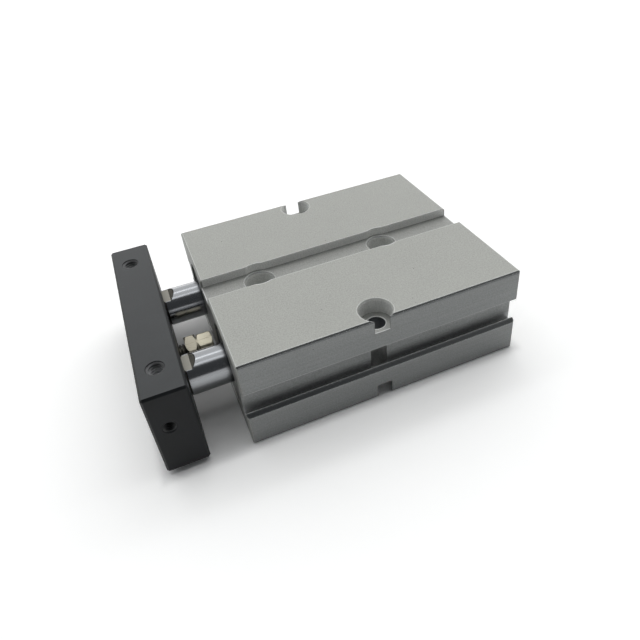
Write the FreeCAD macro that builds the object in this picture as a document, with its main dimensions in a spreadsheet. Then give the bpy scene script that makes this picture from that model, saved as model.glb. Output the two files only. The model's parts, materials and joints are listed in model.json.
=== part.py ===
import FreeCAD, Part
import os
import re
import Sketcher
from FreeCAD import Vector

# Twin rod pneumatic cylinder, millimetres.
# Every piece is drawn with x = 0 on the barrel block's front face, x growing towards the rear,
# y = 0 on the middle plane and z = 0 at the height of the bores, then moved so that the whole
# cylinder at rest stands on z = 0, centred on the origin, with the front plate towards -X.
# Left and right are as seen from the front plate, so left is +Y.

SIZES = {
    # barrel block: an extruded bar with a groove above and below and a sensor slot on each side
    "body_width": 62,
    "body_height": 25,
    "long_edge_chamfer": 0.4,
    "end_edge_chamfer": 0.4,
    "edge_break": 0.15,
    "groove_width": 8.3,
    "groove_depth": 2.2,
    "slot_mouth": 7.7,
    "slot_throat": 5.8,
    "slot_cavity": 8.6,
    "slot_lip": 1.1,
    "slot_depth": 2.7,
    # fixing holes for M4 socket head screws
    "fixing_hole": 4.5,
    "side_hole_from_front": 34.5,
    "side_hole_inset": 3.5,
    "side_seat_diameter": 8,
    "side_seat_depth": 4,
    "side_seat_chamfer": 0.3,
    "groove_hole_from_front": 14.5,
    "groove_hole_spacing": 35,
    "groove_spot_diameter": 9.5,
    "groove_seat_diameter": 7.3,
    "groove_seat_depth": 4,
    "groove_seat_chamfer": 0.4,
    # bores and the fits in them
    "bore_pitch": 29,
    "bore_diameter": 20,
    "static_fit": 0.02,
    "running_fit": 0.03,
    "lip_clearance": 0.05,
    "end_clearance": 0.1,
    "stroke": 20,
    # retaining rings
    "ring_recess": 1.2,
    "ring_thickness": 1,
    "ring_groove_depth": 0.5,
    "ring_groove_slack": 0.1,
    "ring_width": 1.7,
    "ring_gap": 5,
    "ring_ear_radius": 1.5,
    "ring_ear_hole": 1.3,
    # covers, bushes and static seals
    "front_cover_length": 22,
    "rear_cover_length": 8,
    "cover_neck_length": 4.2,
    "cover_neck_diameter": 14.5,
    "cover_lip_length": 1.5,
    "cover_lip_clearance": 0.3,
    "cover_web": 1.3,
    "rod_seal_width": 3.2,
    "rod_seal_height": 2.4,
    "rod_seal_lip": 0.55,
    "rod_seal_v_depth": 1.6,
    "bush_wall": 1.5,
    "o_ring_section": 1.6,
    "o_ring_groove_width": 2.2,
    "o_ring_land": 1,
    "bumper_thickness": 2,
    "bumper_rod_clearance": 0.5,
    # thread holes are drawn at the thread's outer diameter, behind a countersunk mouth
    "thread_countersink": 0.15,
    # air ports, M5, on the left side, with a cross drilling that feeds both bores
    "port_thread": 5,
    "port_depth": 6,
    "port_cross_drill": 2.5,
    "port_height": 7.7,
    # pistons
    "piston_clearance": 0.2,
    "piston_end_land": 1.6,
    "piston_mid_land": 1.2,
    "piston_ring_width": 2.6,
    "piston_seal_height": 2.2,
    "magnet_height": 2,
    "magnet_cover": 0.3,
    "wear_ring_height": 1.1,
    "piston_nut_flats": 10,
    "piston_nut_thickness": 3.2,
    "piston_nut_sink": 0.3,
    "piston_nut_room": 0.4,
    "spigot_diameter": 6,
    # piston rods
    "rod_diameter": 10,
    "rod_flats": 8,
    "rod_flat_length": 1.8,
    "rod_flat_run_out": 1.4,
    "rod_edge_chamfer": 0.4,
    "rod_tap_depth": 16,
    # front plate
    "rest_gap": 10,
    "plate_thickness": 10,
    "plate_width": 62,
    "plate_rise": 12.2,
    "plate_drop": 11.2,
    "plate_chamfer": 0.5,
    "plate_top_thread": 4,
    "plate_top_thread_spacing": 44.6,
    "plate_top_thread_from_face": 4.5,
    "plate_top_thread_depth": 8,
    "plate_end_thread": 3,
    "plate_end_thread_from_face": 3.8,
    "plate_end_thread_rise": 2.4,
    "plate_end_thread_depth": 6,
    "plate_face_thread": 4,
    "plate_face_thread_spacing": 14,
    "plate_face_thread_depth": 8,
    # M5 socket head screws that hold the plate to the rods
    "plate_screw_diameter": 5,
    "plate_screw_core": 4.5,
    "plate_screw_engagement": 14,
    "plate_screw_head_diameter": 8.5,
    "plate_screw_head_height": 5,
    "plate_screw_head_chamfer": 0.4,
    "plate_screw_head_room": 0.3,
    "plate_screw_sink": 0.2,
    "plate_screw_socket_flats": 4,
    "plate_screw_socket_depth": 2.5,
    # stop bolt and its lock nut, low on the middle plane
    "stop_bolt_drop": 5.3,
    "stop_bolt_diameter": 5,
    "stop_bolt_from_body": 1.1,
    "stop_bolt_end_sink": 2,
    "stop_head_flats": 7,
    "stop_head_length": 3.8,
    "stop_bolt_end_chamfer": 0.2,
    "stop_head_turn": 15,
    "stop_collar_diameter": 6.4,
    "stop_collar_thickness": 0.3,
    "lock_nut_flats": 8,
    "lock_nut_thickness": 3,
    "lock_nut_turn": 22,
    "nut_chamfer_angle": 30,
    "cutter_overrun": 0.15,
}

doc = FreeCAD.newDocument("twin_rod_cylinder")
sheet = doc.addObject("Spreadsheet::Sheet", "Sizes")
for row, (alias, number) in enumerate(SIZES.items(), start=1):
    sheet.set(f"A{row}", alias)
    sheet.set(f"B{row}", str(number))
    sheet.setAlias(f"B{row}", alias)
doc.recompute()

# Places along the bores, from the front face to the rear one: the block is as long as what it holds.
RING_END = "(ring_recess + ring_thickness)"
FRONT_COVER_END = f"({RING_END} + front_cover_length)"
FRONT_BUMPER_END = f"({FRONT_COVER_END} + bumper_thickness)"
PISTON_FRONT = f"({FRONT_BUMPER_END} + end_clearance + stroke)"
PISTON_LENGTH = "(2 * piston_end_land + 2 * piston_mid_land + 3 * piston_ring_width)"
PISTON_REAR = f"({PISTON_FRONT} + {PISTON_LENGTH})"
REAR_BUMPER_START = f"({PISTON_REAR} + end_clearance)"
REAR_COVER_START = f"({REAR_BUMPER_START} + bumper_thickness)"
REAR_COVER_END = f"({REAR_COVER_START} + rear_cover_length)"
BODY_LENGTH = f"({REAR_COVER_END} + {RING_END})"
PLATE_INNER = "(-rest_gap)"
PLATE_OUTER = "(-rest_gap - plate_thickness)"

# Radii that more than one piece is cut to.
BORE = "bore_diameter / 2"
COVER = f"({BORE} - static_fit)"
ROD = "rod_diameter / 2"
NECK = "cover_neck_diameter / 2"
LIP = f"({ROD} + cover_lip_clearance)"
BUSH_OUTER = f"({ROD} + running_fit + bush_wall)"
SEAL_HOUSING = f"({ROD} + lip_clearance + rod_seal_height)"
O_RING_FLOOR = f"({COVER} - o_ring_section)"
PISTON = f"({BORE} - piston_clearance)"
SCREW_CORE = "plate_screw_core / 2"


def sized(expression):
    """The expression with each size name pointed at its cell in the sheet."""
    return re.sub(r"[a-z]\w+", lambda word: f"Sizes.{word[0]}" if word[0] in SIZES else word[0], expression)


def value(expression):
    return float(sheet.evalExpression(sized(expression)))


def bind(thing, prop, expression):
    thing.setExpression(prop, sized(expression))


def new_body(label, y="0", z="body_height / 2"):
    """An empty body, placed on the assembled cylinder."""
    body = doc.addObject("PartDesign::Body", label)
    body.Label = label
    bind(body, "Placement.Base.x", f"(rest_gap + plate_thickness - {BODY_LENGTH}) / 2")
    bind(body, "Placement.Base.y", y)
    bind(body, "Placement.Base.z", z)
    return body


def origin(body, role):
    return next(item for item in body.Origin.OriginFeatures if item.Role == role)


def sketch_on(body, name, plane, offset="0"):
    """A sketch on one of the body's own planes, moved along that plane's normal."""
    sketch = body.newObject("Sketcher::SketchObject", name)
    sketch.AttachmentSupport = (origin(body, plane), [""])
    sketch.MapMode = "FlatFace"
    bind(sketch, "AttachmentOffset.Base.z", offset)
    return sketch


def place(sketch, geometry, vertex, across, up):
    """Fixes a point of the sketch by its distances from the sketch's origin."""
    for kind, axis, distance in (("DistanceX", -2, across), ("DistanceY", -1, up)):
        if distance == "0":
            sketch.addConstraint(Sketcher.Constraint("PointOnObject", geometry, vertex, axis))
        else:
            number = sketch.addConstraint(
                Sketcher.Constraint(kind, -1, 1, geometry, vertex, value(distance)))
            bind(sketch, f"Constraints[{number}]", distance)


def outline(sketch, corners):
    """A closed outline of straight lines through corners given as pairs of sizes."""
    points = [Vector(value(across), value(up), 0) for across, up in corners]
    lines = sketch.addGeometry(
        [Part.LineSegment(a, b) for a, b in zip(points, points[1:] + points[:1])], False)
    for k, (across, up) in enumerate(corners):
        sketch.addConstraint(Sketcher.Constraint("Coincident", lines[k - 1], 2, lines[k], 1))
        place(sketch, lines[k], 1, across, up)


def circle(sketch, across, up, diameter):
    middle = Vector(value(across), value(up), 0)
    ring = sketch.addGeometry(Part.Circle(middle, Vector(0, 0, 1), value(diameter) / 2), False)
    place(sketch, ring, 3, across, up)
    number = sketch.addConstraint(Sketcher.Constraint("Diameter", ring, value(diameter)))
    bind(sketch, f"Constraints[{number}]", diameter)


def centre_line(sketch, start, end):
    """A construction line that the sketch is turned about."""
    line = sketch.addGeometry(
        Part.LineSegment(*(Vector(value(across), value(up), 0) for across, up in (start, end))), True)
    place(sketch, line, 1, *start)
    place(sketch, line, 2, *end)


def feature(body, kind, name, profile, **settings):
    """A feature of the body made from a profile; the body's Tip follows it."""
    made = body.newObject(f"PartDesign::{kind}", name)
    made.Profile = profile
    for prop, setting in settings.items():
        if isinstance(setting, str) and prop in ("Length", "Angle"):
            bind(made, prop, setting)
        else:
            setattr(made, prop, setting)
    body.Tip = made
    return made


def turned(label, profile, y="0"):
    """A body turned about its own x axis from a profile of (x, radius) corners."""
    body = new_body(label, y)
    sketch = sketch_on(body, f"{label}_profile", "XY_Plane")
    outline(sketch, profile)
    feature(body, "Revolution", f"{label}_turning", sketch, ReferenceAxis=(sketch, ["H_Axis"]))
    return body


def ring_profile(start, end, inner, outer):
    return [(start, inner), (start, outer), (end, outer), (end, inner)]


def bored(body, name, plane, offset, axis, profile):
    """A stepped hole: the profile, closed along the axis line, is turned about it and cut away."""
    sketch = sketch_on(body, f"{name}_profile", plane, offset)
    centre_line(sketch, *axis)
    outline(sketch, profile)
    return feature(body, "Groove", name, sketch, ReferenceAxis=(sketch, ["Axis0"]))


def tapped(body, name, plane, offset, thread, depth, point):
    """A thread hole; point turns a distance from its mouth and a radius into a place on the sketch."""
    edge = f"{thread} / 2"
    profile = [
        ("0", "0"),
        ("0", f"{edge} + thread_countersink"),
        ("thread_countersink", edge),
        (depth, edge),
        (depth, "0"),
    ]
    corners = [point(along, radius) for along, radius in profile]
    return bored(body, name, plane, offset, (corners[0], corners[-1]), corners)


def mirrored(body, name, features, plane):
    made = body.newObject("PartDesign::Mirrored", name)
    made.Originals = features
    made.MirrorPlane = (origin(body, plane), [""])
    body.Tip = made
    return made


def repeated(body, name, features, axis, length):
    """The features once more, the given length along an axis of the body."""
    made = body.newObject("PartDesign::LinearPattern", name)
    made.Originals = features
    made.Direction = (origin(body, axis), [""])
    made.Occurrences = 2
    bind(made, "Length", length)
    body.Tip = made
    return made


def hexagon(body, kind, name, flats, start, length, turn):
    """A hexagonal prism along x, added or cut away, turned about x by an angle in degrees."""
    prism = body.newObject(f"PartDesign::{kind}", name)
    prism.AttachmentSupport = (origin(body, "YZ_Plane"), [""])
    prism.MapMode = "FlatFace"
    prism.Polygon = 6
    prism.AttachmentOffset = FreeCAD.Placement(Vector(), FreeCAD.Rotation(Vector(0, 0, 1), value(turn)))
    bind(prism, "AttachmentOffset.Base.z", start)
    bind(prism, "Circumradius", f"({flats}) / sqrt(3)")
    bind(prism, "Height", length)
    body.Tip = prism


def end_edges(body, name, plane, half, length):
    """Breaks the block's edges at both ends, on two sides that are half off the middle of the plane."""
    sketch = sketch_on(body, f"{name}_end_edges", plane)
    outside = f"({half} + cutter_overrun)"
    reach = "(end_edge_chamfer + cutter_overrun)"
    for sign in ("", "-"):
        for end, away in (("0", "-"), (BODY_LENGTH, "+")):
            inwards = "+" if away == "-" else "-"
            outline(sketch, [
                (f"{end} {away} cutter_overrun", f"{sign}({half} - {reach})"),
                (f"{end} {inwards} {reach}", f"{sign}{outside}"),
                (f"{end} {away} cutter_overrun", f"{sign}{outside}"),
            ])
    feature(body, "Pocket", f"{name}_edge_breaks", sketch, Length=f"{length} + 2 * cutter_overrun",
            SideType="Symmetric")


def barrel_block():
    """The extruded block with its bores, fixing holes and air ports."""
    body = new_body("barrel_block")
    half_width, half_height = "body_width / 2", "body_height / 2"
    quarter = [
        ("groove_width / 2", f"{half_height} - groove_depth"),
        ("groove_width / 2", f"{half_height} - edge_break"),
        ("groove_width / 2 + edge_break", half_height),
        (f"{half_width} - long_edge_chamfer", half_height),
        (half_width, f"{half_height} - long_edge_chamfer"),
        (half_width, "slot_mouth / 2"),
        (f"{half_width} - slot_lip", "slot_throat / 2"),
        (f"{half_width} - slot_lip", "slot_cavity / 2"),
        (f"{half_width} - slot_depth", "slot_cavity / 2"),
    ]
    section = sketch_on(body, "extrusion_section", "YZ_Plane")
    corners = []
    for y_sign, z_sign, step in (("", "", 1), ("", "-", -1), ("-", "-", 1), ("-", "", -1)):
        corners += [(f"{y_sign}({y})", f"{z_sign}({z})") for y, z in quarter[::step]]
    outline(section, corners)
    feature(body, "Pad", "extrusion", section, Length=BODY_LENGTH)
    end_edges(body, "level", "XZ_Plane", half_height, "body_width")
    end_edges(body, "upright", "XY_Plane", half_width, "body_height")

    axis_y = "bore_pitch / 2"
    wall = f"{axis_y} + {BORE}"
    ring_floor = f"{wall} + ring_groove_depth"
    bore = bored(body, "bore", "XY_Plane", "0", (("0", axis_y), (BODY_LENGTH, axis_y)), [
        ("0", axis_y),
        ("0", wall),
        ("ring_recess - ring_groove_slack", wall),
        ("ring_recess - ring_groove_slack", ring_floor),
        (RING_END, ring_floor),
        (RING_END, wall),
        (REAR_COVER_END, wall),
        (REAR_COVER_END, ring_floor),
        (f"{BODY_LENGTH} - ring_recess + ring_groove_slack", ring_floor),
        (f"{BODY_LENGTH} - ring_recess + ring_groove_slack", wall),
        (BODY_LENGTH, wall),
        (BODY_LENGTH, axis_y),
    ])
    mirrored(body, "second_bore", [bore], "XZ_Plane")

    hole_x = "side_hole_from_front"
    hole_edge = f"{hole_x} + fixing_hole / 2"
    seat_edge = f"{hole_x} + side_seat_diameter / 2"
    upper = [
        (hole_x, half_height),
        (f"{seat_edge} + side_seat_chamfer", half_height),
        (seat_edge, f"{half_height} - side_seat_chamfer"),
        (seat_edge, f"{half_height} - side_seat_depth"),
        (hole_edge, f"{half_height} - side_seat_depth"),
    ]
    side_hole = bored(
        body, "side_hole", "XZ_Plane", f"{half_width} - side_hole_inset",
        ((hole_x, f"-({half_height})"), (hole_x, half_height)),
        upper + [(x, f"-({z})") for x, z in reversed(upper)])
    mirrored(body, "second_side_hole", [side_hole], "XZ_Plane")

    hole_x = "groove_hole_from_front"
    hole_edge = f"{hole_x} + fixing_hole / 2"
    seat_edge = f"{hole_x} + groove_seat_diameter / 2"
    spot_edge = f"{hole_x} + groove_spot_diameter / 2"
    floor = f"({half_height} - groove_depth)"
    upper = [
        (hole_x, half_height),
        (spot_edge, half_height),
        (spot_edge, floor),
        (f"{seat_edge} + groove_seat_chamfer", floor),
        (seat_edge, f"{floor} - groove_seat_chamfer"),
        (seat_edge, f"{floor} - groove_seat_depth"),
        (hole_edge, f"{floor} - groove_seat_depth"),
    ]
    groove_hole = bored(
        body, "groove_hole", "XZ_Plane", "0",
        ((hole_x, f"-({half_height})"), (hole_x, half_height)),
        upper + [(x, f"-({z})") for x, z in reversed(upper)])
    repeated(body, "second_groove_hole", [groove_hole], "X_Axis", "groove_hole_spacing")

    port_x = f"({FRONT_COVER_END} - cover_neck_length / 2)"
    thread_edge = f"{port_x} + port_thread / 2"
    drill_edge = f"{port_x} + port_cross_drill / 2"
    thread_end = f"{half_width} - port_depth"
    drill_end = f"-({axis_y})"
    port = bored(body, "port", "XY_Plane", "port_height", ((port_x, drill_end), (port_x, half_width)), [
        (port_x, half_width),
        (f"{thread_edge} + thread_countersink", half_width),
        (thread_edge, f"{half_width} - thread_countersink"),
        (thread_edge, thread_end),
        (drill_edge, thread_end),
        (drill_edge, drill_end),
        (port_x, drill_end),
    ])
    repeated(body, "second_port", [port], "X_Axis",
             f"{REAR_COVER_START} + cover_neck_length / 2 - {port_x}")


def retaining_ring(label, start, y):
    """A spring steel ring with a gap between two ears that pliers reach through."""
    outer = f"({BORE} + ring_groove_depth - static_fit)"
    inner = f"({outer} - ring_width)"
    ear_middle = f"({inner} - ring_ear_radius / 2)"
    body = turned(label, ring_profile(start, f"{start} + ring_thickness", inner, outer), y)
    ears = sketch_on(body, f"{label}_ears", "YZ_Plane", start)
    holes = sketch_on(body, f"{label}_ear_holes", "YZ_Plane", f"{start} + ring_thickness")
    for sign in ("", "-"):
        across = f"{sign}(ring_gap / 2 + ring_ear_radius / 2)"
        circle(ears, across, f"-{ear_middle}", "2 * ring_ear_radius")
        circle(holes, across, f"-{ear_middle}", "ring_ear_hole")
    feature(body, "Pad", f"{label}_ear_pads", ears, Length="ring_thickness")
    feature(body, "Pocket", f"{label}_pliers_holes", holes, Length="ring_thickness")
    gap = sketch_on(body, f"{label}_gap", "YZ_Plane", f"{start} + ring_thickness")
    side = "(ring_gap / 2 - ring_ear_radius / 2)"
    outline(gap, [(f"-{side}", f"-{outer}"), (side, f"-{outer}"), (side, f"-{ear_middle} + ring_ear_radius"),
                  (f"-{side}", f"-{ear_middle} + ring_ear_radius")])
    feature(body, "Pocket", f"{label}_opening", gap, Length="ring_thickness")


def front_end(side, y):
    """What closes one bore at the front: cover, bush, rod seal, O-ring, retaining ring and bumper."""
    seal_start = f"({RING_END} + cover_lip_length)"
    seal_end = f"({seal_start} + rod_seal_width)"
    bush_start = f"({seal_end} + cover_web)"
    neck_start = f"({FRONT_COVER_END} - cover_neck_length)"
    groove_end = f"({neck_start} - o_ring_land)"
    groove_start = f"({groove_end} - o_ring_groove_width)"
    turned(f"front_cover_{side}", [
        (RING_END, LIP),
        (RING_END, COVER),
        (groove_start, COVER),
        (groove_start, O_RING_FLOOR),
        (groove_end, O_RING_FLOOR),
        (groove_end, COVER),
        (neck_start, COVER),
        (neck_start, NECK),
        (FRONT_COVER_END, NECK),
        (FRONT_COVER_END, BUSH_OUTER),
        (bush_start, BUSH_OUTER),
        (bush_start, LIP),
        (seal_end, LIP),
        (seal_end, SEAL_HOUSING),
        (seal_start, SEAL_HOUSING),
        (seal_start, LIP),
    ], y)
    turned(f"rod_bush_{side}", ring_profile(
        bush_start, FRONT_COVER_END, f"{ROD} + running_fit", f"{BUSH_OUTER} - static_fit"), y)
    seal_inner = f"({ROD} + lip_clearance)"
    seal_outer = f"({SEAL_HOUSING} - static_fit)"
    turned(f"rod_seal_{side}", [
        (seal_start, seal_inner),
        (seal_start, seal_outer),
        (seal_end, seal_outer),
        (seal_end, f"{seal_outer} - rod_seal_lip"),
        (f"{seal_end} - rod_seal_v_depth", f"({seal_inner} + {seal_outer}) / 2"),
        (seal_end, f"{seal_inner} + rod_seal_lip"),
        (seal_end, seal_inner),
    ], y)
    o_ring(f"front_cover_o_ring_{side}", f"({groove_start} + {groove_end}) / 2", y)
    retaining_ring(f"front_snap_ring_{side}", "ring_recess", y)
    turned(f"front_bumper_{side}", ring_profile(
        FRONT_COVER_END, FRONT_BUMPER_END, f"{ROD} + bumper_rod_clearance", NECK), y)


def o_ring(label, middle, y):
    body = new_body(label, y)
    section = sketch_on(body, f"{label}_section", "XY_Plane")
    circle(section, middle, f"{COVER} - o_ring_section / 2", "o_ring_section")
    feature(body, "Revolution", f"{label}_turning", section, ReferenceAxis=(section, ["H_Axis"]))


def rear_end(side, y):
    """What closes one bore at the rear: cover, O-ring, retaining ring and bumper."""
    neck_end = f"({REAR_COVER_START} + cover_neck_length)"
    groove_start = f"({neck_end} + o_ring_land)"
    groove_end = f"({groove_start} + o_ring_groove_width)"
    turned(f"rear_cover_{side}", [
        (REAR_COVER_START, "0"),
        (REAR_COVER_START, NECK),
        (neck_end, NECK),
        (neck_end, COVER),
        (groove_start, COVER),
        (groove_start, O_RING_FLOOR),
        (groove_end, O_RING_FLOOR),
        (groove_end, COVER),
        (REAR_COVER_END, COVER),
        (REAR_COVER_END, "0"),
    ], y)
    o_ring(f"rear_cover_o_ring_{side}", f"({groove_start} + {groove_end}) / 2", y)
    retaining_ring(f"rear_snap_ring_{side}", REAR_COVER_END, y)
    turned(f"rear_bumper_{side}", ring_profile(
        REAR_BUMPER_START, REAR_COVER_START, f"{ROD} + bumper_rod_clearance", NECK), y)


def piston_set(side, y):
    """One piston on its rod, with seal, magnet, wear ring and the nut that holds it."""
    spigot = "spigot_diameter / 2"
    nut_floor = f"({PISTON_REAR} - piston_nut_sink - piston_nut_thickness)"
    nut_room = "piston_nut_flats / sqrt(3) + piston_nut_room"
    profile = [(PISTON_FRONT, f"{spigot} + static_fit"), (PISTON_FRONT, PISTON)]
    start = f"({PISTON_FRONT} + piston_end_land)"
    fitted = (
        ("piston_seal", f"{BORE} - lip_clearance", "piston_seal_height"),
        ("piston_magnet", f"{PISTON} - magnet_cover", "magnet_height"),
        ("wear_ring", f"{BORE} - running_fit", "wear_ring_height"),
    )
    for name, outer, height in fitted:
        end = f"({start} + piston_ring_width)"
        floor = f"({outer} - {height})"
        profile += [(start, PISTON), (start, floor), (end, floor), (end, PISTON)]
        turned(f"{name}_{side}", ring_profile(
            f"{start} + static_fit", f"{end} - static_fit", f"{floor} + static_fit", outer), y)
        start = f"({end} + piston_mid_land)"
    profile += [
        (PISTON_REAR, PISTON),
        (PISTON_REAR, nut_room),
        (nut_floor, nut_room),
        (nut_floor, f"{spigot} + static_fit"),
    ]
    turned(f"piston_{side}", profile, y)

    nut = new_body(f"piston_nut_{side}", y)
    hexagon(nut, "AdditivePrism", f"piston_nut_hexagon_{side}", "piston_nut_flats", nut_floor,
            "piston_nut_thickness", "0")
    hole = sketch_on(nut, f"piston_nut_hole_{side}", "YZ_Plane", f"{nut_floor} + piston_nut_thickness")
    circle(hole, "0", "0", "spigot_diameter + 2 * static_fit")
    feature(nut, "Pocket", f"piston_nut_thread_{side}", hole, Length="piston_nut_thickness")

    rod = turned(f"piston_rod_{side}", [
        (PLATE_INNER, SCREW_CORE),
        (PLATE_INNER, f"{ROD} - rod_edge_chamfer"),
        (f"{PLATE_INNER} + rod_edge_chamfer", ROD),
        (PISTON_FRONT, ROD),
        (PISTON_FRONT, spigot),
        (f"{nut_floor} + piston_nut_thickness", spigot),
        (f"{nut_floor} + piston_nut_thickness", "0"),
        (f"{PLATE_INNER} + rod_tap_depth", "0"),
        (f"{PLATE_INNER} + rod_tap_depth", SCREW_CORE),
    ], y)
    flats = sketch_on(rod, f"rod_flats_{side}", "XZ_Plane")
    flat_end = f"({PLATE_INNER} + rod_flat_length)"
    outside = f"({ROD} + cutter_overrun)"
    run_out = f"rod_flat_run_out * ({outside} - rod_flats / 2) / ({ROD} - rod_flats / 2)"
    for sign in ("", "-"):
        outline(flats, [
            (f"{PLATE_INNER} - cutter_overrun", f"{sign}(rod_flats / 2)"),
            (flat_end, f"{sign}(rod_flats / 2)"),
            (f"{flat_end} + {run_out}", f"{sign}{outside}"),
            (f"{PLATE_INNER} - cutter_overrun", f"{sign}{outside}"),
        ])
    feature(rod, "Pocket", f"wrench_flats_{side}", flats, Length=f"2 * {outside}", SideType="Symmetric")


def front_plate():
    """The plate that joins both rods, with holes for tooling on its top, ends and face."""
    body = new_body("front_plate")
    half_width = "plate_width / 2"
    blank = sketch_on(body, "plate_blank", "YZ_Plane", PLATE_OUTER)
    outline(blank, [(f"-({half_width})", "-plate_drop"), (half_width, "-plate_drop"),
                    (half_width, "plate_rise"), (f"-({half_width})", "plate_rise")])
    block = feature(body, "Pad", "plate_block", blank, Length="plate_thickness")
    doc.recompute()
    edges = [f"Edge{k}" for k in range(1, len(block.Shape.Edges) + 1)]
    broken = body.newObject("PartDesign::Chamfer", "plate_edges")
    broken.Base = (block, edges)
    bind(broken, "Size", "plate_chamfer")
    body.Tip = broken

    axis_y = "bore_pitch / 2"
    seat = f"{PLATE_OUTER} + plate_screw_sink + plate_screw_head_height"
    head_edge = f"{axis_y} + plate_screw_head_diameter / 2 + plate_screw_head_room"
    shank_edge = f"{axis_y} + plate_screw_diameter / 2 + plate_screw_head_room"
    screw_hole = bored(
        body, "screw_hole", "XY_Plane", "0", ((PLATE_OUTER, axis_y), (PLATE_INNER, axis_y)), [
            (PLATE_OUTER, axis_y),
            (PLATE_OUTER, head_edge),
            (seat, head_edge),
            (seat, shank_edge),
            (PLATE_INNER, shank_edge),
            (PLATE_INNER, axis_y),
        ])
    mirrored(body, "second_screw_hole", [screw_hole], "XZ_Plane")

    top_x = f"{PLATE_OUTER} + plate_top_thread_from_face"
    top = tapped(
        body, "top_thread", "XZ_Plane", "plate_top_thread_spacing / 2",
        "plate_top_thread", "plate_top_thread_depth",
        lambda along, radius: (f"{top_x} + {radius}", f"plate_rise - {along}"))
    mirrored(body, "second_top_thread", [top], "XZ_Plane")
    face = tapped(
        body, "face_thread", "XY_Plane", "0", "plate_face_thread", "plate_face_thread_depth",
        lambda along, radius: (f"{PLATE_OUTER} + {along}", f"plate_face_thread_spacing / 2 + {radius}"))
    mirrored(body, "second_face_thread", [face], "XZ_Plane")
    end_x = f"{PLATE_OUTER} + plate_end_thread_from_face"
    end = tapped(
        body, "end_thread", "XY_Plane", "plate_end_thread_rise", "plate_end_thread", "plate_end_thread_depth",
        lambda along, radius: (f"{end_x} + {radius}", f"{half_width} - {along}"))
    mirrored(body, "second_end_thread", [end], "XZ_Plane")
    stop = sketch_on(body, "stop_bolt_hole", "YZ_Plane", PLATE_INNER)
    circle(stop, "0", "-stop_bolt_drop", "stop_bolt_diameter + 2 * running_fit")
    feature(body, "Pocket", "stop_bolt_thread", stop, Length="plate_thickness")


def plate_screw(side, y):
    head_start = f"({PLATE_OUTER} + plate_screw_sink)"
    head_end = f"({head_start} + plate_screw_head_height)"
    tip = f"({PLATE_INNER} + plate_screw_engagement)"
    thread = f"({SCREW_CORE} - static_fit)"
    screw = turned(f"plate_screw_{side}", [
        (head_start, "0"),
        (head_start, "plate_screw_head_diameter / 2 - plate_screw_head_chamfer"),
        (f"{head_start} + plate_screw_head_chamfer", "plate_screw_head_diameter / 2"),
        (head_end, "plate_screw_head_diameter / 2"),
        (head_end, "plate_screw_diameter / 2"),
        (PLATE_INNER, "plate_screw_diameter / 2"),
        (PLATE_INNER, thread),
        (tip, thread),
        (tip, "0"),
    ], y)
    hexagon(screw, "SubtractivePrism", f"plate_screw_socket_{side}", "plate_screw_socket_flats",
            head_start, "plate_screw_socket_depth", "0")


def chamfered_corners(body, name, flats, ends):
    """Cuts a hexagon's corners back to a cone at each end, given as the end's x and which way is in."""
    sketch = sketch_on(body, f"{name}_profile", "XY_Plane")
    corner = f"({flats} / sqrt(3) + cutter_overrun)"
    face = f"({flats} / 2)"
    for end, inwards in ends:
        depth = f"({corner} - {face}) * tan(nut_chamfer_angle * 1 deg)"
        outline(sketch, [(end, face), (end, corner), (f"{end} {inwards} {depth}", corner)])
    feature(body, "Groove", name, sketch, ReferenceAxis=(sketch, ["H_Axis"]))


def stop_bolt_and_nut():
    """The bolt that sets where the retracting plate stops, and the nut that locks it."""
    head_end = "(-stop_bolt_from_body)"
    head_start = f"({head_end} - stop_head_length)"
    nut_end = f"({head_start} - stop_collar_thickness)"
    nut_start = f"({nut_end} - lock_nut_thickness)"
    shank = "stop_bolt_diameter / 2"
    height = "body_height / 2 - stop_bolt_drop"

    bolt = turned("stop_bolt", [
        (f"{PLATE_OUTER} + stop_bolt_end_sink", "0"),
        (f"{PLATE_OUTER} + stop_bolt_end_sink", f"{shank} - stop_bolt_end_chamfer"),
        (f"{PLATE_OUTER} + stop_bolt_end_sink + stop_bolt_end_chamfer", shank),
        (nut_end, shank),
        (nut_end, "stop_collar_diameter / 2"),
        (head_start, "stop_collar_diameter / 2"),
        (head_start, "0"),
    ])
    bind(bolt, "Placement.Base.z", height)
    hexagon(bolt, "AdditivePrism", "stop_bolt_head", "stop_head_flats", head_start, "stop_head_length",
            "stop_head_turn")
    chamfered_corners(bolt, "stop_bolt_head_corners", "stop_head_flats", [(head_end, "-")])

    nut = new_body("lock_nut", z=height)
    hexagon(nut, "AdditivePrism", "lock_nut_hexagon", "lock_nut_flats", nut_start, "lock_nut_thickness",
            "lock_nut_turn")
    chamfered_corners(nut, "lock_nut_corners", "lock_nut_flats", [(nut_start, "+"), (nut_end, "-")])
    hole = sketch_on(nut, "lock_nut_hole", "YZ_Plane", nut_end)
    circle(hole, "0", "0", "stop_bolt_diameter + 2 * static_fit")
    feature(nut, "Pocket", "lock_nut_thread", hole, Length="lock_nut_thickness")


def write_pieces():
    """Checks every object of the document, then writes each piece to its own file."""
    doc.recompute()
    failed = [item.Name for item in doc.Objects if {"Invalid", "Error"} & set(item.State)]
    pieces = [item for item in doc.Objects if item.TypeId == "PartDesign::Body"]
    failed += [item.Label for item in pieces if item.Shape.isNull() or not item.Shape.isValid()]
    if failed:
        raise RuntimeError("not built: " + ", ".join(failed))
    os.makedirs("parts", exist_ok=True)
    for item in pieces:
        item.Shape.exportStep(f"parts/{item.Label}.step")


barrel_block()
front_plate()
stop_bolt_and_nut()
for side, y in (("left", "bore_pitch / 2"), ("right", "-bore_pitch / 2")):
    front_end(side, y)
    rear_end(side, y)
    piston_set(side, y)
    plate_screw(side, y)
write_pieces()
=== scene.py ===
import json
from math import pi, radians

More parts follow.
